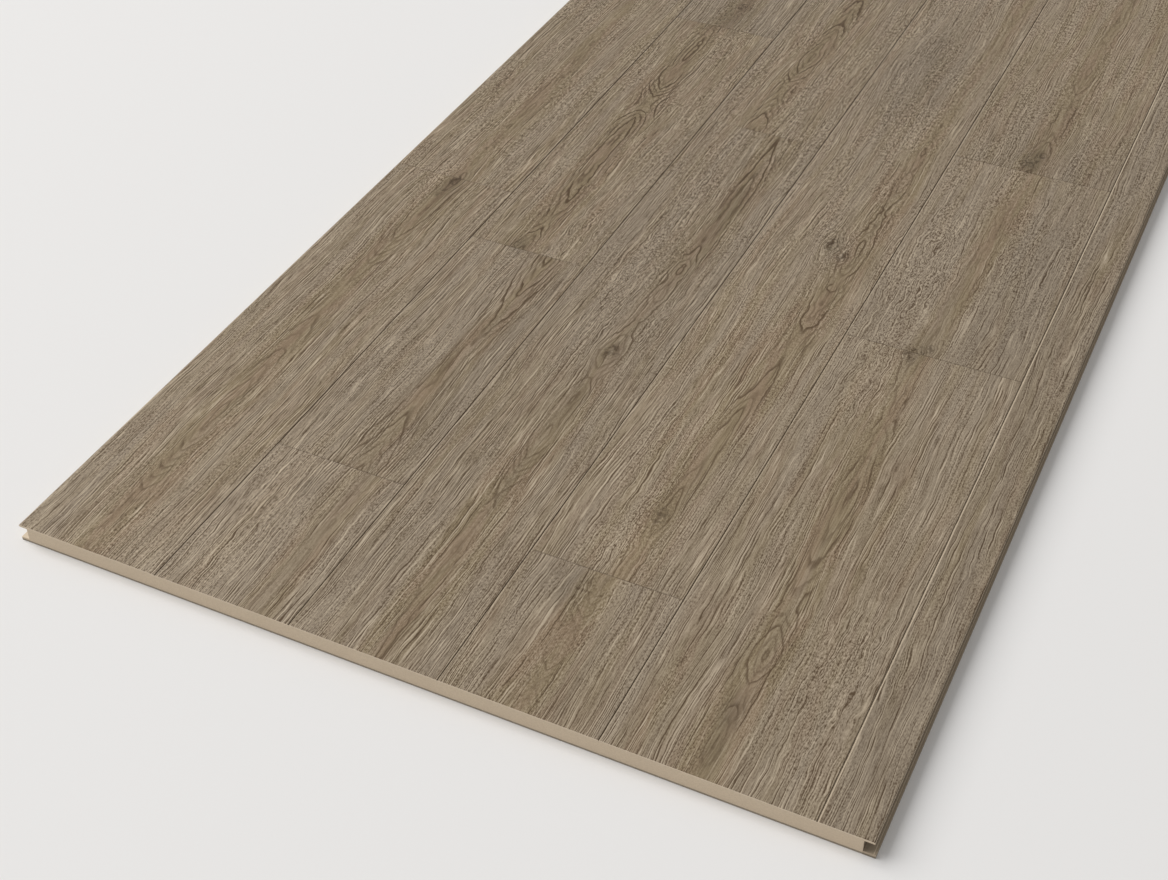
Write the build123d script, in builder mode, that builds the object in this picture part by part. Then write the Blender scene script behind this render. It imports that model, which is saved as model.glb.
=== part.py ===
"""Wide laminate floor plank with a strip pattern.

The plank is a flat board in three bonded layers: a thin backing, a fibreboard core and
a printed wear layer on top.
A rectangular joint groove runs along each long edge, and the short ends are sawn plain.
The wear layer is pressed with fine V lines that divide the face into rows of strips,
and with finer cross lines where one strip ends and the next begins.

Millimetres. X runs across the plank, Y along it, and Z up. The origin is on the
underside, at the middle of the plank's overall width and length.
"""

import os

from build123d import *

# Overall sizes of the visible face
plank_length = 1285.0
face_width = 400.0

# Layers, from the underside up
backing_thickness = 1.0
core_thickness = 7.6
wear_layer_thickness = 0.4

# Joint groove along both long edges, milled into the core
groove_depth = 4.2
upper_lip_thickness = 0.6
lower_lip_thickness = 0.8
groove_root_radius = 0.3
# The lower lip of the right edge stands out past the face, under the next plank
lower_lip_reach = 1.0

# Pressed lines of the wear layer
edge_bevel_width = 0.5
edge_bevel_depth = 0.2
seam_width = 1.0
seam_depth = 0.3
end_line_width = 0.6
end_line_depth = 0.15

# Width of each strip row from the left edge. The last row takes what is left.
strip_widths = [73.6, 68.3, 71.5, 72.6, 91.0]

# Distance of each strip end from the plank's front end, row by row
strip_ends = [
    [337.0, 815.0, 1090.0],
    [97.4, 289.2, 570.0, 862.0, 1150.0],
    [458.6, 745.0, 1027.0],
    [85.0, 770.0, 1060.0],
    [293.3, 483.0, 945.0],
    [640.0],
]

overall_width = face_width + lower_lip_reach
left_edge = -overall_width / 2
right_edge = left_edge + face_width
lower_lip_edge = right_edge + lower_lip_reach
face_centre = (left_edge + right_edge) / 2
front_end = -plank_length / 2

core_top = backing_thickness + core_thickness
plank_top = core_top + wear_layer_thickness
groove_floor = backing_thickness + lower_lip_thickness
groove_ceiling = core_top - upper_lip_thickness
web_left = left_edge + groove_depth
web_right = right_edge - groove_depth


def seam_positions():
    """X of the line between each two neighbouring rows of strips."""
    positions = []
    x = left_edge
    for width in strip_widths:
        x += width
        positions.append(x)
    return positions


def v_section(width, depth):
    """Cross-section of a pressed line, its mouth on the sketch's X axis."""
    with BuildSketch(mode=Mode.PRIVATE) as section:
        Polygon((-width / 2, 0), (0, -depth), (width / 2, 0), align=None)
    return section.sketch


def make_backing():
    """Thin sheet under the core, as long as the lower lips reach."""
    with BuildPart() as backing_layer:
        with BuildSketch(Plane.XY):
            Rectangle(overall_width, plank_length)
        extrude(amount=backing_thickness)
    return backing_layer.part


def make_core():
    """Fibreboard core, its section an I with the lower right flange the longest."""
    with BuildPart() as core:
        with BuildSketch(Plane.XZ):
            with BuildLine():
                Polyline(
                    (left_edge, backing_thickness),
                    (lower_lip_edge, backing_thickness),
                    (lower_lip_edge, groove_floor),
                    (web_right, groove_floor),
                    (web_right, groove_ceiling),
                    (right_edge, groove_ceiling),
                    (right_edge, core_top),
                    (left_edge, core_top),
                    (left_edge, groove_ceiling),
                    (web_left, groove_ceiling),
                    (web_left, groove_floor),
                    (left_edge, groove_floor),
                    close=True,
                )
            make_face()
        extrude(amount=plank_length / 2, both=True)
        web_faces = [
            face
            for face in core.faces().filter_by(Axis.X)
            if abs(face.center().X - face_centre) < face_width / 2 - groove_depth / 2
        ]
        roots = ShapeList(edge for face in web_faces for edge in face.edges())
        fillet(roots.filter_by(Axis.Y), groove_root_radius)
    return core.part


def make_wear_layer():
    """Printed top sheet with bevelled long edges and its pressed lines."""
    rows = [left_edge] + seam_positions() + [right_edge]
    with BuildPart() as wear_layer:
        with BuildSketch(Plane.XZ):
            with BuildLine():
                Polyline(
                    (left_edge, core_top),
                    (right_edge, core_top),
                    (right_edge, plank_top - edge_bevel_depth),
                    (right_edge - edge_bevel_width, plank_top),
                    (left_edge + edge_bevel_width, plank_top),
                    (left_edge, plank_top - edge_bevel_depth),
                    close=True,
                )
            make_face()
        extrude(amount=plank_length / 2, both=True)

        # Seams between the rows, from end to end
        with BuildSketch(Plane.XZ):
            with Locations(*[(x, plank_top) for x in seam_positions()]):
                add(v_section(seam_width, seam_depth))
        extrude(amount=plank_length / 2, both=True, mode=Mode.SUBTRACT)

        # End lines of the strips, from one seam to the next
        for row_left, row_right, ends in zip(rows[:-1], rows[1:], strip_ends):
            with BuildSketch(Plane.YZ.offset(row_left)):
                with Locations(*[(front_end + end, plank_top) for end in ends]):
                    add(v_section(end_line_width, end_line_depth))
            extrude(amount=row_right - row_left, mode=Mode.SUBTRACT)
    return wear_layer.part


pieces = {
    "backing_layer": make_backing(),
    "fibreboard_core": make_core(),
    "wear_layer": make_wear_layer(),
}

os.makedirs("parts", exist_ok=True)
for name, piece in pieces.items():
    piece.label = name
    export_step(piece, f"parts/{name}.step")
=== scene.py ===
"""Blender scene of a wide laminate floor plank with an oak strip pattern.

The printed face is a fine mesh that follows the pressed lines of the wear layer. Each of
its vertices knows how the grain of its strip runs there: how far it lies from the strip's
heart line, how deep the growth rings' centre lies below the face, and how grey, wavy or
knotty the wood is. The material draws rings, pores and knots from that.

Lengths are written in millimetres, measured on the face from its left edge (x) and from
the plank's front end (y), and turned into metres where the meshes are made.
"""

import math

import bpy
import numpy as np
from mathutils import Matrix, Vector


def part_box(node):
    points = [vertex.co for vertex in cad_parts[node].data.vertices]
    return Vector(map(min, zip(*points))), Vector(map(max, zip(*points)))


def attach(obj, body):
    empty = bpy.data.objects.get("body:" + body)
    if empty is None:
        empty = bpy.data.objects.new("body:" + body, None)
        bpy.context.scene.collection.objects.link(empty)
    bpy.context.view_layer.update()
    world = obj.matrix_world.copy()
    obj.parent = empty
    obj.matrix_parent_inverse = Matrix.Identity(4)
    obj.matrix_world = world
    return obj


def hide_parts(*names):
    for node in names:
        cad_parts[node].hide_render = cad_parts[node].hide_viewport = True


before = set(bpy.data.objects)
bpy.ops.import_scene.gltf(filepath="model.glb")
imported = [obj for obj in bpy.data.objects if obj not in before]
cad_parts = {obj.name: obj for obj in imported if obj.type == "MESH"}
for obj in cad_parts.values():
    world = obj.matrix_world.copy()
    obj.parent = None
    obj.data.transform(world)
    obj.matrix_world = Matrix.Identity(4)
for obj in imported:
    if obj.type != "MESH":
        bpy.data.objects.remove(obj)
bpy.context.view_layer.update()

MM = 0.001

# Layout of the face, the same as the solid wear layer's
PLANK_LENGTH = 1285.0
FACE_WIDTH = 400.0
STRIP_WIDTHS = [73.6, 68.3, 71.5, 72.6, 91.0]
STRIP_ENDS = [
    [337.0, 815.0, 1090.0],
    [97.4, 289.2, 570.0, 862.0, 1150.0],
    [458.6, 745.0, 1027.0],
    [85.0, 770.0, 1060.0],
    [293.3, 483.0, 945.0],
    [640.0],
]
SEAM_HALF_WIDTH = 0.5
SEAM_DEPTH = 0.3
END_LINE_HALF_WIDTH = 0.3
END_LINE_DEPTH = 0.15
BEVEL_WIDTH = 0.5
BEVEL_DEPTH = 0.2

# The joint grooves: how deep they are, and how high their floor and ceiling lie
GROOVE_DEPTH = 4.2
GROOVE_FLOOR = 1.8
GROOVE_CEILING = 8.0

SEAMS = list(np.cumsum(STRIP_WIDTHS))
ROW_EDGES = [0.0] + SEAMS + [FACE_WIDTH]

wear_low, wear_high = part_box("wear_layer")
FACE_X = wear_low[0] / MM
FACE_RIGHT = FACE_X + FACE_WIDTH
FRONT_Y = wear_low[1] / MM
FACE_Z = wear_high[2] / MM
UNDER_Z = wear_low[2] / MM

# How the grain of each strip runs, row by row and from the front end. Each track is a
# list of (y, value): heart is where the heart line lies across the face, and depth how
# far below the face the centre of the rings lies. Depth that shrinks with y draws arches
# that point to the front end, growing depth points them away, and a dip draws an eye.
# Dark ring lines lie RING_STEP apart, so an arch's tip is where depth passes one of them.
# stir is how unsteady the depth is, spread how far from the heart line the rings show,
# bold how dark they are, grey how grey the wood is, and tone how much paler than the rest.
STRIPS = [
    [
        {
            "heart": [(0, 35), (200, 36), (260, 36), (300, 37.5), (337, 39)],
            "depth": [(0, 15), (20, 19), (98, 1.2), (104, 1), (118, 3.2), (131, 6.4), (160, 11),
                      (176, 13.5), (205, 17.5), (222, 16.5), (300, 1.2), (337, 1.2)],
            "stir": [(0, 0.8), (100, 0.6), (200, 0.8), (300, 1.0), (337, 1.2)],
            "spread": [(0, 4.5), (110, 5), (140, 7), (220, 7), (260, 9), (337, 9)],
            "bold": [(0, 0.75), (200, 0.75), (300, 1.0)],
            "grey": [(0, 0.55), (120, 0.25), (220, 0.15), (337, 0.25)],
            "tone": [(0, 0.004), (337, -0.006)],
        },
        {
            "heart": [(337, 40), (380, 38), (440, 41), (500, 39), (560, 37), (815, 40)],
            "depth": [(337, 2.2), (400, 1.5), (520, 2.0), (600, 2.5), (815, 4)],
            "stir": [(337, 1.7), (815, 2.0)],
            "grey": [(337, 0.25), (815, 0.2)],
        },
        {
            "heart": [(815, 30), (1090, 36)],
            "depth": [(815, 9), (880, 6), (930, 1.5), (960, 1.5), (1030, 7), (1090, 9)],
            "grey": [(815, 0.3)],
        },
        {"heart": [(1090, 44), (1285, 40)], "depth": [(1090, 2), (1285, 9)], "grey": [(1090, 0.5)]},
    ],
    [
        {
            "heart": [(0, 124), (97, 126)],
            "depth": [(0, 3), (40, 1.5), (97, 3)],
            "stir": [(0, 2.0)],
            "grey": [(0, 0.75), (97, 0.65)],
            "tone": [(0, 0.0)],
        },
        {
            "heart": [(97, 118), (150, 118.5), (200, 119.5), (230, 121.5), (258, 121.5), (289, 121)],
            "depth": [(97, 0.6), (106, 3.2), (125, 8), (150, 11.6), (185, 12.2), (208, 11.9),
                      (228, 10), (258, 5.6), (272, 3.2), (284, 0.8), (289, 0.6)],
            "stir": [(97, 0.5)],
            "spread": [(97, 13), (130, 14), (170, 9), (210, 8), (250, 14), (289, 14)],
            "bold": [(97, 0.85), (200, 1.0), (289, 1.2)],
            "grey": [(97, 0.55), (289, 0.55)],
            "tone": [(97, -0.012)],
        },
        {
            "heart": [(289, 103), (340, 104.5), (375, 102), (430, 101.5), (450, 102), (505, 100.5),
                      (570, 101)],
            "depth": [(289, 1.0), (300, 3.4), (322, 8.7), (340, 6.3), (365, 4.0), (395, 3.2), (425, 4.2),
                      (440, 6.3), (456, 12.5), (502, 1.2), (510, 3.2), (520, 1.6), (545, 1.0), (568, 3.4)],
            "stir": [(289, 0.7)],
            "spread": [(289, 5), (340, 8), (420, 9), (460, 12), (500, 9), (570, 6)],
            "bold": [(289, 1.1), (340, 1.4), (570, 1.4)],
            "grey": [(289, 0.2), (450, 0.15), (570, 0.2)],
            "tone": [(289, -0.016), (570, -0.016)],
        },
        {
            "heart": [(570, 103), (620, 107), (862, 110)],
            "depth": [(570, 2.5), (640, 3), (740, 8), (862, 3)],
            "stir": [(570, 2.0)],
            "grey": [(570, 0.6), (700, 0.5)],
            "tone": [(570, -0.03), (680, 0.0)],
        },
        {
            "heart": [(862, 108), (1150, 104)],
            "depth": [(862, 11), (950, 6), (990, 1), (1040, 4), (1150, 11)],
            "grey": [(862, 0.4)],
        },
        {"heart": [(1150, 112), (1285, 110)], "depth": [(1150, 3), (1285, 4)], "grey": [(1150, 0.7)]},
    ],
    [
        {
            "heart": [(0, 185), (50, 184), (150, 184), (230, 185.5), (300, 188.5), (400, 190.5),
                      (459, 188)],
            "depth": [(0, 6), (30, 5.4), (50, 3.6), (68, 3.2), (84, 5), (94, 12), (103, 15.5),
                      (162, 1.2), (170, 2.6), (195, 2.8), (203, 6), (214, 3.6),
                      (228, 0.8), (242, 3.4), (270, 5), (282, 2.4), (296, 4.4), (309, 1.0), (322, 4.6),
                      (350, 7.0), (400, 8.0), (435, 10.5), (459, 12)],
            "stir": [(0, 0.8), (100, 0.6), (200, 0.8), (230, 1.2), (300, 1.2), (340, 0.4), (459, 0.5)],
            "spread": [(0, 6), (84, 4), (100, 3), (114, 6), (160, 5), (220, 8), (300, 7), (459, 9)],
            "bold": [(0, 0.8), (180, 0.8), (230, 1.0), (340, 1.1), (400, 1.4)],
            "grey": [(0, 0.5), (190, 0.35), (280, 0.65), (459, 0.45)],
            "tone": [(0, -0.006), (200, -0.018), (459, -0.022)],
        },
        {
            "heart": [(459, 171), (500, 170), (560, 172), (610, 174), (745, 178)],
            "depth": [(459, 1.2), (520, 12), (540, 5), (556, 1.2), (572, 4), (612, 11), (645, 16),
                      (745, 8)],
            "stir": [(459, 0.7)],
            "spread": [(459, 7), (745, 9)],
            "bold": [(459, 1.2)],
            "grey": [(459, 0.25), (745, 0.3)],
            "tone": [(459, -0.018)],
        },
        {
            "heart": [(745, 180), (1027, 186)],
            "depth": [(745, 2), (800, 7), (870, 11), (940, 6), (1027, 2)],
            "grey": [(745, 0.5)],
        },
        {"heart": [(1027, 172), (1285, 176)], "depth": [(1027, 2), (1285, 8)], "grey": [(1027, 0.4)]},
    ],
    [
        {
            "heart": [(0, 251), (85, 251)],
            "depth": [(0, 4), (16, 9), (34, 3.6), (46, 13), (80, 1.4), (85, 2)],
            "stir": [(0, 0.9)],
            "bold": [(0, 0.6)],
            "grey": [(0, 0.3), (50, 0.35), (85, 0.6)],
        },
        {
            "heart": [(85, 256), (140, 257.5), (172, 259), (212, 261), (255, 264.5), (300, 266),
                      (380, 268), (450, 269), (600, 272), (770, 277)],
            "depth": [(85, 3.5), (115, 1.6), (131, 0.7), (150, 1.6), (172, 3.6), (192, 4.6), (212, 6.0),
                      (226, 8.4), (255, 10.8), (280, 11.5), (300, 8.4), (320, 6.4), (338, 4.4), (350, 1.6),
                      (372, 1.0), (386, 3.6), (414, 6.0), (430, 4.0), (442, 2.4), (460, 3.6), (480, 1.4),
                      (498, 3.6), (512, 1.8), (545, 3.4), (560, 1.6), (590, 3.0), (640, 4.5), (770, 6)],
            "stir": [(85, 0.6), (260, 0.5), (300, 1.0), (430, 1.2), (600, 2.0)],
            "spread": [(85, 6), (130, 7), (180, 8), (290, 9), (360, 8), (430, 5), (770, 5)],
            "bold": [(85, 0.9), (260, 1.0), (340, 1.15)],
            "grey": [(85, 0.35), (300, 0.2), (500, 0.4), (620, 0.5), (770, 0.4)],
            "tone": [(85, 0.0), (300, -0.004), (450, -0.012)],
        },
        {
            "heart": [(770, 246), (1060, 252)],
            "depth": [(770, 10), (850, 6), (900, 1.4), (960, 4), (1060, 9)],
            "grey": [(770, 0.4)],
        },
        {"heart": [(1060, 256), (1285, 250)], "depth": [(1060, 3), (1285, 8)], "grey": [(1060, 0.5)]},
    ],
    [
        {
            "heart": [(0, 328), (46, 328), (70, 329), (104, 328), (180, 328), (230, 327), (293, 324)],
            "depth": [(0, 3.6), (20, 2.2), (34, 4.5), (48, 8.4), (58, 4.4), (70, 0.8), (80, 3.6), (98, 8.6),
                      (104, 9.5), (111, 8.4), (129, 6.0), (148, 3.4), (180, 0.9), (204, 3.6), (218, 6.2),
                      (240, 9), (262, 8.2), (293, 7.6)],
            "stir": [(0, 1.2), (40, 0.4), (60, 0.9), (90, 0.4), (293, 1.0)],
            "spread": [(0, 4), (40, 6), (70, 9), (104, 7), (170, 8), (240, 6), (293, 6)],
            "bold": [(0, 0.7), (70, 0.85), (110, 0.9), (200, 1.0)],
            "grey": [(0, 0.4), (150, 0.3), (293, 0.45)],
        },
        {
            "heart": [(293, 327), (400, 330), (483, 333)],
            "depth": [(293, 1.6), (340, 3.0), (400, 3.5), (483, 2.4)],
            "stir": [(293, 2.0)],
            "grey": [(293, 0.65), (483, 0.4)],
            "tone": [(293, -0.01)],
        },
        {
            "heart": [(483, 329), (520, 332), (610, 333), (740, 335), (945, 330)],
            "depth": [(483, 1.4), (505, 3.4), (530, 8.0), (570, 8.4), (592, 4.0), (606, 1.6), (640, 2.4),
                      (672, 3.6), (690, 1.0), (715, 4.0), (945, 8)],
            "stir": [(483, 0.8), (590, 1.6)],
            "grey": [(483, 0.4), (560, 0.2), (945, 0.2)],
            "tone": [(483, -0.03), (620, -0.015)],
        },
        {
            "heart": [(945, 336), (1285, 330)],
            "depth": [(945, 2), (1010, 6), (1100, 11), (1200, 6), (1285, 3)],
            "grey": [(945, 0.4)],
        },
    ],
    [
        {"heart": [(0, 440)], "depth": [(0, 5)], "grey": [(0, 0.5)], "tone": [(0, -0.03)]},
        {"heart": [(640, 445)], "depth": [(640, 5)], "grey": [(640, 0.6)], "tone": [(640, -0.03)]},
    ],
]
# Values of a strip that doesn't give its own
PLAIN_STRIP = {"stir": 1.0, "spread": 6.5, "bold": 1.0, "tone": 0.0}
RING_STEP = 2.4
# Two makes round arches, one makes sharp ones
ARCH_POINT = 1.3
# One rounds the curve through a track's points fully, and zero levels it at each of them
TRACK_ROUNDING = 0.7

# Knots: x, y, radius across, and how dark they are
KNOTS = [
    (36.5, 318.0, 1.2, 0.5),
    (38.5, 334.0, 2.4, 0.7),
    (107.0, 602.0, 2.4, 0.7),
    (185.5, 228.0, 3.2, 0.6),
    (256.0, 129.0, 3.0, 0.55),
    (262.0, 357.0, 2.6, 0.65),
    (252.5, 366.0, 3.4, 0.65),
    (321.0, 291.0, 3.2, 0.65),
    (328.5, 299.0, 2.0, 0.6),
    (327.0, 492.0, 3.0, 0.7),
    (333.0, 504.0, 1.8, 0.7),
    (185.0, 905.0, 3.4, 0.8),
    (120.0, 1010.0, 3.0, 0.7),
    (262.0, 1150.0, 3.8, 0.8),
    (40.0, 1195.0, 2.8, 0.7),
]
# How much longer a knot is than wide, how far the grain bends round it in the knot's
# radii, and how strongly
KNOT_STRETCH = 1.6
KNOT_REACH = 1.86
KNOT_BEND = 0.8

# How wavy the grain is everywhere
LEAST_WAVE = 0.1
# Patches of wavy, broken grain: x, y, half width, half length, strength
WAVY_PATCHES = [
    (30.0, 330.0, 7.0, 22.0, 0.8),
    (128.0, 318.0, 13.0, 32.0, 0.8),
    (93.0, 60.0, 14.0, 50.0, 0.4),
    (168.0, 300.0, 11.0, 95.0, 0.9),
    (196.0, 262.0, 7.0, 30.0, 0.7),
    (251.0, 68.0, 10.0, 16.0, 0.9),
    (250.0, 115.0, 12.0, 34.0, 0.9),
    (235.0, 190.0, 10.0, 60.0, 0.4),
    (254.0, 364.0, 14.0, 26.0, 0.7),
    (242.0, 560.0, 20.0, 70.0, 0.4),
    (360.0, 70.0, 16.0, 55.0, 0.9),
    (305.0, 355.0, 19.0, 72.0, 1.0),
    (350.0, 400.0, 20.0, 70.0, 0.6),
    (308.0, 260.0, 16.0, 34.0, 0.8),
    (322.0, 492.0, 16.0, 24.0, 0.6),
    (390.0, 240.0, 9.0, 200.0, 0.3),
]

# Darker or paler patches: x, y, half width, half length, and how much of white is added
SHADED_PATCHES = [
    (236.0, 72.0, 10.0, 14.0, -0.05),
    (103.0, 78.0, 5.0, 7.0, -0.04),
    (328.0, 36.0, 5.0, 12.0, -0.06),
    (328.0, 14.0, 4.0, 9.0, -0.04),
    (38.0, 328.0, 9.0, 14.0, -0.04),
    (100.0, 292.0, 6.0, 8.0, -0.06),
    (322.0, 294.0, 9.0, 12.0, -0.015),
    (329.0, 498.0, 9.0, 15.0, -0.04),
    (190.0, 370.0, 5.0, 40.0, -0.03),
    (105.0, 590.0, 12.0, 24.0, -0.04),
    (243.0, 575.0, 19.0, 75.0, -0.04),
    (358.0, 390.0, 21.0, 100.0, -0.03),
    (133.0, 195.0, 9.0, 95.0, -0.02),
    (257.0, 362.0, 9.0, 16.0, -0.03),
    (251.0, 105.0, 10.0, 24.0, 0.03),
    (30.0, 335.0, 6.0, 16.0, 0.03),
    (88.0, 60.0, 16.0, 60.0, 0.02),
]

# How much paler each row is made along the plank, darker where negative, in most rows darker towards the
# far end: (y, tone)
ROW_TONES = [
    [(0, -0.003), (300, -0.015), (480, -0.031)],
    [(0, -0.005), (300, -0.009), (480, -0.016)],
    [(0, -0.009), (300, -0.013), (480, -0.016)],
    [(0, -0.013), (300, -0.007), (480, -0.014)],
    [(0, -0.012), (300, -0.013), (480, -0.010)],
    [(0, -0.003), (300, -0.010), (480, -0.012)],
]

# How steeply a patch ends
PATCH_EDGE = 1.5

# How far the noise of one strip is shifted from that of the next
STRIP_SHIFT = 137.0
# How far apart two noises of one material are taken
SEED_STEP = 41.3

# Over this stretch from the front end the fine texture of the print turns coarser
COARSE_FROM = 150.0
COARSE_BY = 500.0

# Noises drawn out along the grain: width, length, seed and detail
NOISES = {
    "ripple": (5.0, 13.0, 1, 1.0),
    "sway": (30.0, 120.0, 2, 1.0),
    "hair": (1.4, 130.0, 3, 0.0),
    "hair_strength": (2.4, 36.0, 4, 1.0),
    "other_hair": (1.7, 90.0, 5, 0.0),
    "other_strength": (3.1, 30.0, 6, 1.0),
    "fleck": (0.6, 1.4, 7, 2.0),
    "bands": (1.6, 60.0, 8, 1.0),
    "clouds": (9.0, 170.0, 9, 1.0),
    "pores": (0.34, 9.0, 10, 1.0),
    "shake": (1.0, 8.0, 11, 1.0),
    "unsteady_depth": (3.0, 12.0, 12, 1.0),
    "uneven_rings": (6.0, 40.0, 13, 1.0),
    "ring_fading": (2.0, 26.0, 14, 1.0),
    "broken": (0.7, 2.6, 15, 1.0),
    "rose": (8.0, 45.0, 16, 1.0),
    "flecked": (15.0, 55.0, 17, 1.0),
    "crackle": (1.2, 2.6, 18, 1.0),
}

# Steps of the face mesh, across and along the plank. Past FAR_FROM they are longer.
ACROSS_STEP = 1.4
NEAR_STEP = 4.0
FAR_STEP = 9.0
FAR_FROM = 740.0

# The face's map: the space between its parts, how much smaller than the top the
# underside, the sides and the ends are laid there, and how far up each of them starts
MAP_GAP = 5.0
MAP_ALONG = 0.6
MAP_ACROSS = 0.25
MAP_DEEP = 6.0
MAP_SIDES = {"left": 110.0, "right": 120.0, "front": 130.0, "back": 138.0}
# Heights or widths that differ less than this count as the same
LEVEL = 0.01

# Floor and lamp, in metres. The floor lies just under the plank. From FADE_START to
# FADE_END away from its middle, the camera sees it turn into the plain backdrop.
FLOOR_REACH = 9.0
FLOOR_LEVEL = -0.00005
FADE_START = 1.0
FADE_END = 2.4
KEY_PLACE = (-8.8, -0.6, 8.0)
KEY_TARGET = (0.0, -0.2, 0.0)
KEY_SIZE = 10.0
KEY_POWER = 1320.0
SKY_STRENGTH = 0.42

# The photograph's camera: place in metres, tilt and turn in degrees, lens and sensor in
# millimetres, and the nearest and farthest that it sees in metres
CAMERA_PLACE = (0.27690, -1.05520, 0.55366)
CAMERA_TILT = 49.45
CAMERA_TURN = 25.60
CAMERA_LENS = 54.83
CAMERA_SENSOR = 36.0
CAMERA_NEAR = 0.02
CAMERA_FAR = 60.0

# What each vertex of the face knows about the grain
GRAIN_VALUES = [
    "across", "offset", "depth", "stir", "spread", "bold", "grey", "wave", "tone",
    "knot_u", "knot_v", "knot_dark",
]


def srgb(red, green, blue):
    """A colour given as 0 to 255 in sRGB, as the linear colour that a shader takes."""
    def linear(level):
        level /= 255
        return level / 12.92 if level <= 0.04045 else ((level + 0.055) / 1.055) ** 2.4
    return (linear(red), linear(green), linear(blue), 1.0)


# Colours of the print, of what surrounds the plank, and the painted shade and painted light on the milled
# board's edges
BROWN = srgb(142, 126, 100)
ROSE = srgb(145, 123, 102)
GREY = srgb(146, 132, 114)
# Pale lines of the grain, also the painted highlight on the seams' right edges, the left bevel and the
# fibre lines
PALE_LINE_AND_HIGHLIGHT = srgb(193, 177, 154)
DARK_LINE = srgb(90, 73, 55)
RING_LINE = srgb(87, 69, 50)
KNOT_DARK = srgb(66, 52, 37)
# Dark of the seams and end lines, also the painted shade on the right bevel
SEAM_AND_SHADE_COLOUR = srgb(44, 31, 18)
BACKDROP = srgb(238, 237, 236)
SKY_COLOUR = (1.0, 0.99, 0.975, 1.0)
FLOOR_COLOUR = (0.84, 0.83, 0.82, 1.0)
# Painted shade for the right edge and its groove, which face away from the lamp, and painted light for the
# left groove, which faces it
EDGE_PAINTED_SHADE = srgb(96, 83, 66)
EDGE_PAINTED_LIGHT = srgb(226, 217, 200)
# Light, dark and clouded tone of each pressed sheet
CUT_PAPER = (srgb(230, 214, 192), srgb(218, 202, 180), srgb(222, 206, 184))
CORE_BOARD = (srgb(216, 199, 175), srgb(200, 182, 158), srgb(204, 186, 163))
BACKING_SHEET = (srgb(158, 147, 131), srgb(140, 129, 114), srgb(148, 137, 122))
# How dark each seam is and how strong the painted highlight on its right edge, where its flank faces the
# lamp, from the left
SEAM_DARK = [0.95, 0.9, 0.9, 0.95, 0.7]
SEAM_PAINTED_HIGHLIGHT = [0.1, 0.15, 0.3, 0.35, 0.9]


def track(points, y):
    """Smooth curve through (y, value) points, level before the first and after the last."""
    ys = np.array([p[0] for p in points], float)
    values = np.array([p[1] for p in points], float)
    if len(ys) == 1:
        return np.full_like(y, values[0])
    i = np.clip(np.searchsorted(ys, y) - 1, 0, len(ys) - 2)
    span = ys[i + 1] - ys[i]
    t = np.clip((y - ys[i]) / span, 0, 1)
    slopes = TRACK_ROUNDING * np.gradient(values, ys)
    return (
        (2 * t**3 - 3 * t**2 + 1) * values[i]
        + (t**3 - 2 * t**2 + t) * span * slopes[i]
        + (3 * t**2 - 2 * t**3) * values[i + 1]
        + (t**3 - t**2) * span * slopes[i + 1]
    )


def steps_between(start, end, step):
    """Evenly spaced places from start up to but without end, about step apart."""
    count = max(1, round((end - start) / step))
    return list(np.linspace(start, end, count, endpoint=False))


def face_columns(step):
    """Places of the face mesh's columns: bevels, seams and what lies between."""
    columns = [0.0]
    start = BEVEL_WIDTH
    for seam in SEAMS:
        columns += steps_between(start, seam - SEAM_HALF_WIDTH, step)
        columns += [seam - SEAM_HALF_WIDTH, seam]
        start = seam + SEAM_HALF_WIDTH
    columns += steps_between(start, FACE_WIDTH - BEVEL_WIDTH, step)
    return np.array(columns + [FACE_WIDTH - BEVEL_WIDTH, FACE_WIDTH])


def face_rows(near_step, far_step, far_from):
    """Places of the face mesh's rows, closer together over the first stretch."""
    lines = sorted(end for ends in STRIP_ENDS for end in ends)
    rows = []
    start = 0.0
    for line in lines + [PLANK_LENGTH]:
        last = line == PLANK_LENGTH
        stop = line if last else line - END_LINE_HALF_WIDTH
        rows += steps_between(start, stop, near_step if start < far_from else far_step)
        if not last:
            rows += [stop, line]
            start = line + END_LINE_HALF_WIDTH
    return np.array(rows + [PLANK_LENGTH])


def pressed_lines(x, y):
    """How deep the pressed lines lie at each point, and where the end lines run, 0 to 1."""
    ends_here = np.zeros_like(x)
    margin = SEAM_HALF_WIDTH / 2
    for row, ends in enumerate(STRIP_ENDS):
        inside = (x > ROW_EDGES[row] + margin) & (x < ROW_EDGES[row + 1] - margin)
        for end in ends:
            near = np.clip(1 - np.abs(y - end) / END_LINE_HALF_WIDTH, 0, 1) * inside
            ends_here = np.maximum(ends_here, near)
    depth = ends_here * END_LINE_DEPTH
    for seam in SEAMS:
        near = np.clip(1 - np.abs(x - seam) / SEAM_HALF_WIDTH, 0, 1)
        depth = np.maximum(depth, near * SEAM_DEPTH)
    edge = np.minimum(x, FACE_WIDTH - x)
    near = np.clip(1 - edge / BEVEL_WIDTH, 0, 1)
    return np.maximum(depth, near * BEVEL_DEPTH), ends_here


def around_knots(x, y):
    """Where across the face the grain that passes (x, y) would run without its knots."""
    moved = x.copy()
    for knot_x, knot_y, radius, _ in KNOTS:
        across = x - knot_x
        distance = np.hypot(across, (y - knot_y) / KNOT_STRETCH)
        moved -= KNOT_BEND * across * np.exp(-((distance / (radius * KNOT_REACH)) ** 2))
    return moved


def patches(x, y, places):
    """Sum of soft round patches, each with its own size and strength."""
    total = np.zeros_like(x)
    for patch_x, patch_y, half_width, half_length, strength in places:
        away = ((x - patch_x) / half_width) ** 2 + ((y - patch_y) / half_length) ** 2
        total += strength * np.exp(-(away**PATCH_EDGE))
    return total


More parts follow.
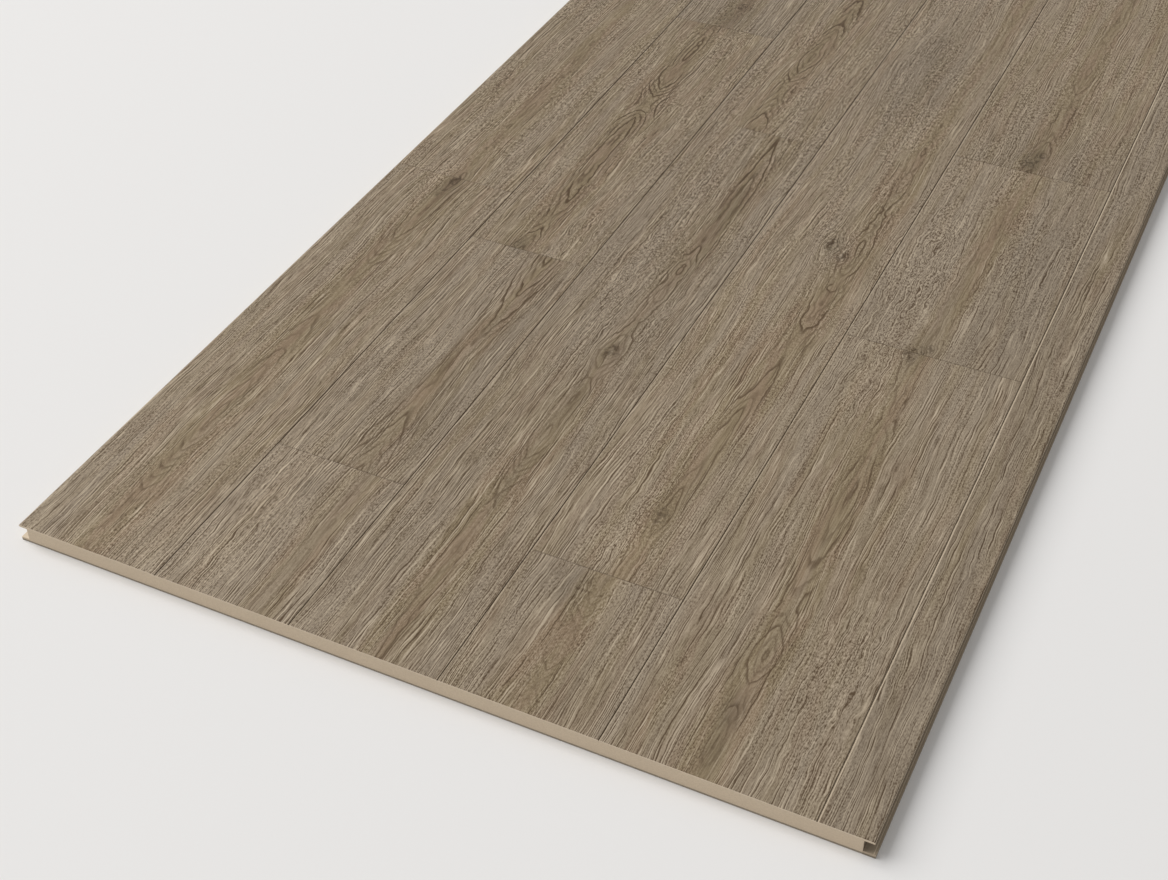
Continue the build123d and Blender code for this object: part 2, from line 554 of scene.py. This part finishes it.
def grain_fields(x, y):
    """The grain's values at each point of the face, by name."""
    across = around_knots(x, y)
    fields = {name: np.zeros_like(x) for name in GRAIN_VALUES}
    serial = 0
    for row, strips in enumerate(STRIPS):
        in_row = (x >= ROW_EDGES[row]) & (x <= ROW_EDGES[row + 1])
        starts = [0.0] + STRIP_ENDS[row]
        stops = STRIP_ENDS[row] + [PLANK_LENGTH]
        for strip, start, stop in zip(strips, starts, stops):
            serial += 1
            here = in_row & (y >= start) & (y <= stop)
            at = y[here]
            fields["across"][here] = across[here] + serial * STRIP_SHIFT
            fields["offset"][here] = across[here] - track(strip["heart"], at)
            fields["depth"][here] = track(strip["depth"], at)
            fields["grey"][here] = track(strip["grey"], at)
            for name, plain in PLAIN_STRIP.items():
                fields[name][here] = track(strip.get(name, [(0, plain)]), at)
            fields["tone"][here] += track(ROW_TONES[row], at)
    fields["wave"] = LEAST_WAVE + patches(x, y, WAVY_PATCHES)
    fields["tone"] += patches(x, y, SHADED_PATCHES)
    nearest = np.full_like(x, np.inf)
    for knot_x, knot_y, radius, dark in KNOTS:
        u = (x - knot_x) / radius
        v = (y - knot_y) / (radius * KNOT_STRETCH)
        closer = np.hypot(u, v) < nearest
        nearest = np.where(closer, np.hypot(u, v), nearest)
        for name, value in (("knot_u", u), ("knot_v", v), ("knot_dark", dark)):
            fields[name] = np.where(closer, value, fields[name])
    return fields


def lay_out(mesh, faces, top_faces):
    """Map of the mesh for a picture of it: the top's two halves, then the rest, smaller."""
    half = PLANK_LENGTH / 2
    above_top = half + 4 * MAP_GAP
    places = []
    for k, face in enumerate(faces):
        points = [mesh.vertices[v].co / MM for v in face]
        spots = [(p.x - FACE_X, p.y - FRONT_Y, FACE_Z - p.z) for p in points]
        across_low = min(across for across, _, _ in spots)
        across_high = max(across for across, _, _ in spots)
        deep_low = min(deep for _, _, deep in spots)
        deep_high = max(deep for _, _, deep in spots)
        if k < top_faces:
            far = sum(along for _, along, _ in spots) / len(spots) > half
            right = MAP_GAP + (FACE_WIDTH + MAP_GAP if far else 0.0)
            up = MAP_GAP - (half if far else 0.0)
            places += [(right + across, up + along) for across, along, _ in spots]
        elif deep_high - deep_low < LEVEL:
            places += [
                (MAP_GAP + along * MAP_ALONG, above_top + across * MAP_ACROSS)
                for across, along, _ in spots
            ]
        elif across_high - across_low < LEVEL:
            up = above_top + MAP_SIDES["left" if across_low < FACE_WIDTH / 2 else "right"]
            places += [
                (MAP_GAP + along * MAP_ALONG, up + deep * MAP_DEEP)
                for _, along, deep in spots
            ]
        else:
            up = above_top + MAP_SIDES["front" if spots[0][1] < half else "back"]
            places += [(MAP_GAP + across, up + deep * MAP_DEEP) for across, _, deep in spots]
    side = 2 * FACE_WIDTH + 3 * MAP_GAP
    layer = mesh.uv_layers.new(name="OFBake")
    layer.data.foreach_set("uv", (np.array(places) / side).ravel().astype(np.float32))


def printed_face():
    """The wear layer as a closed mesh with its pressed lines and its grain's values."""
    columns = face_columns(ACROSS_STEP)
    rows = face_rows(NEAR_STEP, FAR_STEP, FAR_FROM)
    x, y = (a.ravel() for a in np.meshgrid(columns, rows))
    depth, end_lines = pressed_lines(x, y)
    top = np.stack([x + FACE_X, y + FRONT_Y, FACE_Z - depth], 1)
    under_y = np.repeat(rows, 2)
    under_x = np.tile([0.0, FACE_WIDTH], len(rows))
    under = np.stack([under_x + FACE_X, under_y + FRONT_Y, np.full_like(under_x, UNDER_Z)], 1)

    across_count, along_count = len(columns), len(rows)
    faces = []
    for j in range(along_count - 1):
        first = j * across_count
        for i in range(across_count - 1):
            a = first + i
            faces.append((a, a + 1, a + 1 + across_count, a + across_count))
    top_faces = len(faces)
    base = len(top)
    for j in range(along_count - 1):
        left, right = base + 2 * j, base + 2 * j + 1
        top_left, top_right = j * across_count, (j + 1) * across_count - 1
        faces.append((left, left + 2, right + 2, right))
        faces.append((left, top_left, top_left + across_count, left + 2))
        faces.append((right, right + 2, top_right + across_count, top_right))
    front = [base, base + 1] + list(range(across_count - 1, -1, -1))
    last_row = (along_count - 1) * across_count
    back = [base + 2 * along_count - 1, base + 2 * along_count - 2]
    back += list(range(last_row, last_row + across_count))
    faces += [tuple(front), tuple(back)]

    mesh = bpy.data.meshes.new("printed_face")
    mesh.from_pydata([tuple(v) for v in np.vstack([top, under]) * MM], [], faces)
    values = grain_fields(x, y)
    values["end_line"] = end_lines
    for name, field in values.items():
        stored = mesh.attributes.new(name, "FLOAT", "POINT")
        padded = np.concatenate([field, np.zeros(len(under))])
        stored.data.foreach_set("value", padded.astype(np.float32))
    slots = [0 if k < top_faces else 1 for k in range(len(faces))]
    mesh.polygons.foreach_set("material_index", slots)
    lay_out(mesh, faces, top_faces)
    mesh.validate()
    mesh.update()
    piece = bpy.data.objects.new("printed_face", mesh)
    bpy.context.scene.collection.objects.link(piece)
    return piece


class Graph:
    """A material's node tree, with short ways to add nodes to it."""

    def __init__(self, name, roughness, specular):
        self.material = bpy.data.materials.new(name)
        self.material.use_nodes = True
        self.tree = self.material.node_tree
        self.shader = self.tree.nodes["Principled BSDF"]
        self.shader.inputs["Roughness"].default_value = roughness
        self.shader.inputs["Specular IOR Level"].default_value = specular

    def put(self, socket, value):
        """Links an output to a socket, or sets the socket to a plain value."""
        if isinstance(value, bpy.types.NodeSocket):
            self.tree.links.new(value, socket)
        else:
            socket.default_value = value

    def node(self, kind, **settings):
        made = self.tree.nodes.new(kind)
        for name, value in settings.items():
            setattr(made, name, value)
        return made

    def math(self, operation, a, b=None, c=None, clamp=False):
        made = self.node("ShaderNodeMath", operation=operation, use_clamp=clamp)
        for socket, value in zip(made.inputs, (a, b, c)):
            if value is not None:
                self.put(socket, value)
        return made.outputs[0]

    def add(self, first, *others):
        for other in others:
            first = self.math("ADD", first, other)
        return first

    def times(self, first, *others):
        for other in others:
            first = self.math("MULTIPLY", first, other)
        return first

    def off_middle(self, value):
        """How far a noise is from its middle value."""
        return self.math("ABSOLUTE", self.math("SUBTRACT", value, 0.5))

    def ramp(self, value, low, high, to_low=0.0, to_high=1.0):
        """value taken smoothly from low..high to to_low..to_high, and level outside."""
        made = self.node("ShaderNodeMapRange", interpolation_type="SMOOTHSTEP")
        for socket, given in zip(made.inputs, (value, low, high, to_low, to_high)):
            self.put(socket, given)
        return made.outputs[0]

    def attribute(self, name):
        return self.node("ShaderNodeAttribute", attribute_name=name).outputs["Fac"]

    def vector(self, x, y, z=0.0):
        made = self.node("ShaderNodeCombineXYZ")
        for socket, value in zip(made.inputs, (x, y, z)):
            self.put(socket, value)
        return made.outputs[0]

    def noise(self, vector, scale=1.0, detail=2.0, roughness=0.5, dimensions="3D"):
        made = self.node("ShaderNodeTexNoise", noise_dimensions=dimensions)
        self.put(made.inputs["Vector"], vector)
        self.put(made.inputs["Scale"], scale)
        self.put(made.inputs["Detail"], detail)
        self.put(made.inputs["Roughness"], roughness)
        return made.outputs["Fac"]

    def mix(self, share, a, b):
        """The colour a with share of b in it."""
        made = self.node("ShaderNodeMix", data_type="RGBA")
        colour_sockets = [s for s in made.inputs if s.type == "RGBA"]
        self.put(made.inputs[0], share)
        self.put(colour_sockets[0], a)
        self.put(colour_sockets[1], b)
        return next(s for s in made.outputs if s.type == "RGBA")

    def length(self, vector):
        made = self.node("ShaderNodeVectorMath", operation="LENGTH")
        self.put(made.inputs[0], vector)
        return made.outputs["Value"]

    def scaled(self, colour, gain):
        made = self.node("ShaderNodeVectorMath", operation="SCALE")
        self.put(made.inputs[0], colour)
        self.put(made.inputs["Scale"], gain)
        return made.outputs[0]

    def place(self):
        """Object coordinates in millimetres, as three outputs."""
        coordinates = self.node("ShaderNodeTexCoord").outputs["Object"]
        parts = self.node("ShaderNodeSeparateXYZ")
        self.put(parts.inputs[0], coordinates)
        return [self.math("DIVIDE", axis, MM) for axis in parts.outputs]

    def bump(self, height, strength, distance):
        made = self.node("ShaderNodeBump")
        self.put(made.inputs["Strength"], strength)
        self.put(made.inputs["Distance"], distance)
        self.put(made.inputs["Height"], height)
        self.tree.links.new(made.outputs[0], self.shader.inputs["Normal"])


def streaks(graph, across, along, name):
    """Noise drawn out along the grain, as NOISES gives it under name."""
    width, length, seed, detail = NOISES[name]
    place = graph.vector(
        graph.math("MULTIPLY_ADD", across, 1 / width, seed * SEED_STEP),
        graph.math("MULTIPLY", along, 1 / length),
    )
    return graph.noise(place, detail=detail, roughness=0.55, dimensions="2D")


def centred(graph, value, amount):
    """value, which lies round 0.5, moved to lie round 0 and scaled to amount."""
    return graph.math("MULTIPLY_ADD", value, amount, -0.5 * amount)


def thin_line(graph, noise, half_width):
    """A thin soft line wherever a noise passes its middle value."""
    return graph.ramp(graph.off_middle(noise), 0.01, half_width, 1.0, 0.0)


def fibre_run(graph, y):
    """Place across the fibres: they sway slowly, and ripple where the strip is wavy."""
    across = graph.attribute("across")
    sway = centred(graph, streaks(graph, across, y, "sway"), 8.0)
    ripple = centred(graph, streaks(graph, across, y, "ripple"), 1.0)
    wavy = graph.math("MULTIPLY_ADD", graph.attribute("wave"), 3.2, 0.8)
    return graph.add(across, sway, graph.times(ripple, wavy))


def fibre_lines(graph, y, run):
    """Long hair-thin lines, each with a painted highlight along its right edge where the pressed relief
    would catch the light, and shorter pores.
    """
    hair = streaks(graph, run, y, "hair")
    hair_highlight = streaks(graph, graph.add(run, -0.5), y, "hair")
    # Where the noise is nearly level its line would swell to a blot
    steep = graph.math("ABSOLUTE", graph.math("SUBTRACT", hair, hair_highlight))
    strength = graph.ramp(streaks(graph, run, y, "hair_strength"), 0.38, 0.60)
    strength = graph.times(strength, graph.ramp(steep, 0.03, 0.11))
    other = streaks(graph, run, y, "other_hair")
    other_strength = graph.ramp(streaks(graph, run, y, "other_strength"), 0.42, 0.62)
    broken = centred(graph, streaks(graph, run, y, "broken"), 1.6)
    return graph.add(
        graph.times(thin_line(graph, hair, 0.10), strength, -0.95),
        # Painted highlight: the pale copy of each line, just to its right, stands in for the lit flank of
        # the pressed relief
        graph.times(thin_line(graph, hair_highlight, 0.10), strength, 0.85),
        graph.times(thin_line(graph, other, 0.055), other_strength, 0.7),
        graph.times(broken, graph.attribute("wave")),
        centred(graph, streaks(graph, run, y, "pores"), 1.2),
    )


def line_strength(graph, x, far, flecked):
    """How strongly the fibre lines show: less in flecked patches, far off and on the right."""
    return graph.times(
        graph.ramp(flecked, 0.4, 0.6, 1.1, 0.8),
        graph.ramp(far, 0.0, 1.0, 1.0, 0.8),
        graph.ramp(x, FACE_X + 200.0, FACE_X + 250.0, 1.1, 0.82),
    )


def flecks(graph, x, y, far, flecked):
    """Small flecks, with coarser ones far off, weaker where straight lines show instead."""
    fine = centred(graph, streaks(graph, x, y, "fleck"), 2.0)
    crackle = graph.times(centred(graph, streaks(graph, x, y, "crackle"), 1.7), far)
    in_patches = graph.ramp(flecked, 0.4, 0.6, 0.35, 1.0)
    return graph.times(
        graph.add(fine, crackle),
        graph.ramp(x, FACE_X + 250.0, FACE_X + 390.0, 1.0, 0.75),
        graph.add(in_patches, graph.times(graph.attribute("wave"), 0.45)),
    )


def growth_rings(graph, y, run, side):
    """How dark the rings round the heart line are, 0 to 1."""
    strip = graph.math("DIVIDE", graph.attribute("across"), STRIP_SHIFT)
    stir = graph.attribute("stir")
    shake = centred(graph, streaks(graph, strip, y, "shake"), 2.0)
    deep = graph.add(
        graph.attribute("depth"),
        graph.times(shake, stir),
        centred(graph, streaks(graph, run, y, "unsteady_depth"), 1.6),
    )
    deep = graph.math("MAXIMUM", deep, 0.0)
    ring = graph.add(
        graph.math("POWER", side, ARCH_POINT),
        graph.math("POWER", deep, ARCH_POINT),
    )
    ring = graph.math("POWER", ring, 1 / ARCH_POINT)
    ring = graph.add(ring, centred(graph, streaks(graph, run, y, "uneven_rings"), 2.2))
    turn = graph.math("FRACT", graph.math("MULTIPLY_ADD", ring, 1 / RING_STEP, 0.5))
    line = graph.times(graph.ramp(turn, 0.0, 0.12), graph.ramp(turn, 0.12, 0.6, 1.0, 0.0))

    # Every other ring is faint, and each one fades here and there along its way
    pair = graph.math("FRACT", graph.math("MULTIPLY_ADD", ring, 0.5 / RING_STEP, 0.25))
    every_other = graph.ramp(graph.off_middle(pair), 0.2, 0.3, 1.0, 0.6)
    own_place = graph.add(ring, graph.times(strip, 9.0))
    fading = graph.ramp(streaks(graph, own_place, y, "ring_fading"), 0.32, 0.52, 0.3, 1.0)
    spread = graph.math("DIVIDE", side, graph.attribute("spread"))
    near_heart = graph.times(
        graph.ramp(spread, 0.5, 1.3, 1.0, 0.0),
        graph.ramp(side, 0.0, 1.2, 0.7, 1.0),
        graph.ramp(stir, 1.0, 2.4, 1.0, 0.4),
    )
    bold = graph.attribute("bold")
    return graph.times(line, every_other, fading, near_heart, bold, 0.95)


def wood_colour(graph, y, run, side, clouds):
    """Brown or rose near the heart line and greyer away from it."""
    greyness = graph.add(graph.ramp(side, 3.0, 16.0, -0.35, 0.25), graph.attribute("grey"))
    greyness = graph.math("ADD", greyness, centred(graph, clouds, 1.6), clamp=True)
    rose = graph.ramp(streaks(graph, run, y, "rose"), 0.4, 0.65, 0.0, 0.6)
    return graph.mix(greyness, graph.mix(rose, BROWN, ROSE), GREY)


def knots(graph, x, y):
    """How dark the knots are, 0 to 1: spots inside rings, both broken up by noise."""
    rough = centred(graph, graph.noise(graph.vector(x, y), 0.45, 2.0, 0.6), 1.6)
    place = graph.vector(graph.attribute("knot_u"), graph.attribute("knot_v"))
    near = graph.add(graph.length(place), rough)
    spots = graph.noise(graph.vector(x, graph.times(y, 0.6)), 0.6, 1.0, 0.5)
    spots = graph.ramp(spots, 0.46, 0.58)
    spots = graph.times(spots, graph.ramp(near, 0.8, 1.4, 1.0, 0.0), 0.9)
    turn = graph.math("FRACT", graph.times(near, 1.4))
    rings = graph.ramp(graph.off_middle(turn), 0.1, 0.3, 1.0, 0.0)
    rings = graph.times(rings, graph.ramp(near, 0.9, 2.2, 0.6, 0.0))
    return graph.times(graph.math("MAXIMUM", spots, rings), graph.attribute("knot_dark"))


def seam_lines(graph, x, half_width):
    """The dark bottom of each seam and the painted highlight on its right edge, where its flank faces the
    lamp, 0 to 1.
    """
    dark = pale = 0.0
    for seam, shade, shine in zip(SEAMS, SEAM_DARK, SEAM_PAINTED_HIGHLIGHT):
        away = graph.math("SUBTRACT", x, seam + FACE_X)
        from_bottom = graph.math("ABSOLUTE", graph.add(away, 0.12))
        from_edge = graph.math("ABSOLUTE", graph.add(away, -0.55))
        dark = graph.math("MAXIMUM", graph.ramp(from_bottom, 0.05, half_width, shade, 0.0), dark)
        # pale is the painted highlight on the seam's right flank
        pale = graph.math("MAXIMUM", graph.ramp(from_edge, 0.1, 0.4, shine, 0.0), pale)
    return dark, pale


def with_pressed_lines_and_painted_light(graph, colour, x, far):
    """colour with the seams and the end lines drawn in, a painted highlight along the left bevel, which
    faces the lamp, and painted shade along the right one.
    """
    dark, pale = seam_lines(graph, x, graph.ramp(far, 0.0, 1.0, 0.28, 0.42))
    colour = graph.mix(pale, colour, PALE_LINE_AND_HIGHLIGHT)
    colour = graph.mix(dark, colour, SEAM_AND_SHADE_COLOUR)
    # Painted highlight along the left bevel, which faces the lamp
    left_bevel_highlight = graph.ramp(x, FACE_X + 0.4, FACE_X + 1.1, 0.3, 0.0)
    colour = graph.mix(left_bevel_highlight, colour, PALE_LINE_AND_HIGHLIGHT)
    # Painted shade along the right bevel, which faces away from the lamp
    right_bevel_shade = graph.ramp(x, FACE_RIGHT - 0.6, FACE_RIGHT - 0.2, 0.0, 0.3)
    colour = graph.mix(right_bevel_shade, colour, SEAM_AND_SHADE_COLOUR)
    return graph.mix(graph.times(graph.attribute("end_line"), 0.6), colour, SEAM_AND_SHADE_COLOUR)


def oak_print():
    """Printed oak under a matt pressed surface."""
    graph = Graph("oak_print", roughness=0.55, specular=0.12)
    x, y, _ = graph.place()
    side = graph.math("ABSOLUTE", graph.attribute("offset"))
    run = fibre_run(graph, y)
    far = graph.ramp(y, FRONT_Y + COARSE_FROM, FRONT_Y + COARSE_BY)
    flecked = streaks(graph, x, y, "flecked")
    quiet = graph.ramp(side, 1.5, 7.0, 0.3, 1.0)
    fine = graph.add(
        graph.times(fibre_lines(graph, y, run), quiet, line_strength(graph, x, far, flecked)),
        graph.times(flecks(graph, x, y, far, flecked), graph.math("SQRT", quiet)),
    )
    bands = centred(graph, streaks(graph, run, y, "bands"), 0.65)
    clouds = streaks(graph, run, y, "clouds")
    light = graph.add(fine, bands, centred(graph, clouds, 0.07))

    colour = wood_colour(graph, y, run, side, clouds)
    # light carries the grain's pale and dark lines, and with them the painted highlights of the fibre lines
    colour = graph.mix(graph.math("MULTIPLY", light, 1.0, clamp=True), colour, PALE_LINE_AND_HIGHLIGHT)
    colour = graph.mix(graph.math("MULTIPLY", light, -1.9, clamp=True), colour, DARK_LINE)
    colour = graph.mix(growth_rings(graph, y, run, side), colour, RING_LINE)
    colour = graph.mix(knots(graph, x, y), colour, KNOT_DARK)
    gain = graph.math("MULTIPLY_ADD", graph.attribute("tone"), 4.0, 1.0)
    colour = with_pressed_lines_and_painted_light(graph, graph.scaled(colour, gain), x, far)
    graph.put(graph.shader.inputs["Base Color"], colour)
    graph.bump(graph.add(fine, graph.times(bands, 0.4)), 0.25, 0.12 * MM)
    return graph.material


def with_painted_edge_light(graph, colour):
    """colour with painted shade along the right edge, in its groove, on the lower lip and on the end face
    below the groove, which face away from the lamp, and painted light in the left groove, which faces it.
    """
    x, y, z = graph.place()
    inside = graph.ramp(graph.math("ABSOLUTE", y), -FRONT_Y - 0.3, -FRONT_Y - 0.1, 1.0, 0.0)
    end_face = graph.ramp(inside, 0.0, 1.0, 1.0, 0.0)
    in_groove = graph.times(
        inside,
        graph.ramp(z, GROOVE_FLOOR - 0.1, GROOVE_FLOOR + 0.1),
        graph.ramp(x, FACE_RIGHT - 0.2, FACE_RIGHT - 0.05, 1.0, 0.0),
    )
    low_end = graph.times(
        end_face,
        graph.ramp(z, GROOVE_CEILING - 0.1, GROOVE_CEILING + 0.1, 0.35, 0.0),
    )
    lip = graph.times(inside, graph.ramp(x, FACE_RIGHT + 0.1, FACE_RIGHT + 0.3, 0.0, 0.5))
    web_right = FACE_RIGHT - GROOVE_DEPTH
    painted_shade_right = graph.times(
        graph.ramp(x, web_right - 0.2, web_right),
        graph.add(in_groove, low_end, lip),
    )
    web_left = FACE_X + GROOVE_DEPTH
    painted_light_left = graph.times(inside, graph.ramp(x, web_left + 0.1, web_left + 0.4, 1.0, 0.0))
    # Painted shade on the right-hand edge and groove, and painted light in the left groove
    colour = graph.mix(graph.times(painted_shade_right, 0.9), colour, EDGE_PAINTED_SHADE)
    return graph.mix(graph.times(painted_light_left, 0.4), colour, EDGE_PAINTED_LIGHT)


def fibreboard(name, light, dark, clouded):
    """Pressed wood fibre, sawn or milled: fine pale and dark specks and faint clouds, with painted shade
    and painted light on the milled edges.
    """
    graph = Graph(name, roughness=0.85, specular=0.2)
    x, y, z = graph.place()
    fibres = graph.noise(graph.vector(x, y, graph.times(z, 2.5)), 1.3, 4.0, 0.65)
    clouds = graph.noise(graph.vector(x, y, z), 0.05, 2.0, 0.5)
    colour = graph.mix(graph.ramp(fibres, 0.3, 0.7), dark, light)
    colour = graph.mix(graph.ramp(clouds, 0.3, 0.7, 0.0, 0.35), colour, clouded)
    graph.put(graph.shader.inputs["Base Color"], with_painted_edge_light(graph, colour))
    graph.bump(fibres, 0.3, 0.15 * MM)
    return graph.material


def dress_node(name, material):
    """Gives a solid of the frame its finish."""
    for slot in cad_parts[name].material_slots:
        slot.link = "OBJECT"
        slot.material = material


def pale_floor():
    """Matt floor. Away from the plank, the camera sees the plain backdrop in its place."""
    graph = Graph("pale_floor", roughness=0.7, specular=0.2)
    graph.shader.inputs["Base Color"].default_value = FLOOR_COLOUR
    place = graph.node("ShaderNodeTexCoord").outputs["Object"]
    away = graph.ramp(graph.length(place), FADE_START, FADE_END)
    seen = graph.node("ShaderNodeLightPath").outputs["Is Camera Ray"]
    backdrop = graph.node("ShaderNodeEmission")
    backdrop.inputs["Color"].default_value = BACKDROP
    both = graph.node("ShaderNodeMixShader")
    graph.put(both.inputs[0], graph.times(away, seen))
    graph.put(both.inputs[1], graph.shader.outputs[0])
    graph.put(both.inputs[2], backdrop.outputs[0])
    graph.put(graph.tree.nodes["Material Output"].inputs["Surface"], both.outputs[0])
    return graph.material


def floor():
    """Large pale floor that the plank lies on."""
    mesh = bpy.data.meshes.new("floor")
    corners = [(-1, -1), (1, -1), (1, 1), (-1, 1)]
    points = [(x * FLOOR_REACH, y * FLOOR_REACH, FLOOR_LEVEL) for x, y in corners]
    mesh.from_pydata(points, [], [(0, 1, 2, 3)])
    piece = bpy.data.objects.new("floor", mesh)
    bpy.context.scene.collection.objects.link(piece)
    mesh.materials.append(pale_floor())


def soft_lamp(name, place, target, size, power):
    """Square area lamp that faces target."""
    data = bpy.data.lights.new(name, "AREA")
    data.shape = "SQUARE"
    data.size = size
    data.energy = power
    lamp = bpy.data.objects.new(name, data)
    lamp.location = place
    lamp.rotation_euler = (Vector(target) - Vector(place)).to_track_quat("-Z", "Y").to_euler()
    bpy.context.scene.collection.objects.link(lamp)


def light_scene():
    """Even sky, which is seen as the pale backdrop, and one large soft lamp on the left."""
    world = bpy.data.worlds.new("studio")
    world.use_nodes = True
    tree = world.node_tree
    sky = tree.nodes["Background"]
    sky.inputs["Color"].default_value = SKY_COLOUR
    sky.inputs["Strength"].default_value = SKY_STRENGTH
    backdrop = tree.nodes.new("ShaderNodeBackground")
    backdrop.inputs["Color"].default_value = BACKDROP
    rays = tree.nodes.new("ShaderNodeLightPath")
    seen = rays.outputs["Is Camera Ray"]
    for kind in ("Is Glossy Ray", "Is Transmission Ray"):
        either = tree.nodes.new("ShaderNodeMath")
        either.operation = "MAXIMUM"
        tree.links.new(seen, either.inputs[0])
        tree.links.new(rays.outputs[kind], either.inputs[1])
        seen = either.outputs[0]
    both = tree.nodes.new("ShaderNodeMixShader")
    tree.links.new(seen, both.inputs[0])
    tree.links.new(sky.outputs[0], both.inputs[1])
    tree.links.new(backdrop.outputs[0], both.inputs[2])
    tree.links.new(both.outputs[0], tree.nodes["World Output"].inputs["Surface"])
    bpy.context.scene.world = world
    soft_lamp("key", KEY_PLACE, KEY_TARGET, KEY_SIZE, KEY_POWER)


def camera():
    """Camera at the photograph's place and angle."""
    data = bpy.data.cameras.new("camera")
    data.sensor_width = CAMERA_SENSOR
    data.sensor_fit = "HORIZONTAL"
    data.lens = CAMERA_LENS
    data.clip_start = CAMERA_NEAR
    data.clip_end = CAMERA_FAR
    piece = bpy.data.objects.new("camera", data)
    piece.location = CAMERA_PLACE
    piece.rotation_euler = (math.radians(CAMERA_TILT), 0.0, math.radians(CAMERA_TURN))
    bpy.context.scene.collection.objects.link(piece)
    bpy.context.scene.camera = piece


camera()
light_scene()
floor()

face = printed_face()
face.data.materials.append(oak_print())
face.data.materials.append(fibreboard("cut_paper", *CUT_PAPER))
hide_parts("wear_layer")
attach(face, "root")
dress_node("fibreboard_core", fibreboard("core_board", *CORE_BOARD))
dress_node("backing_layer", fibreboard("backing_sheet", *BACKING_SHEET))

bpy.context.scene.view_settings.view_transform = "Standard"
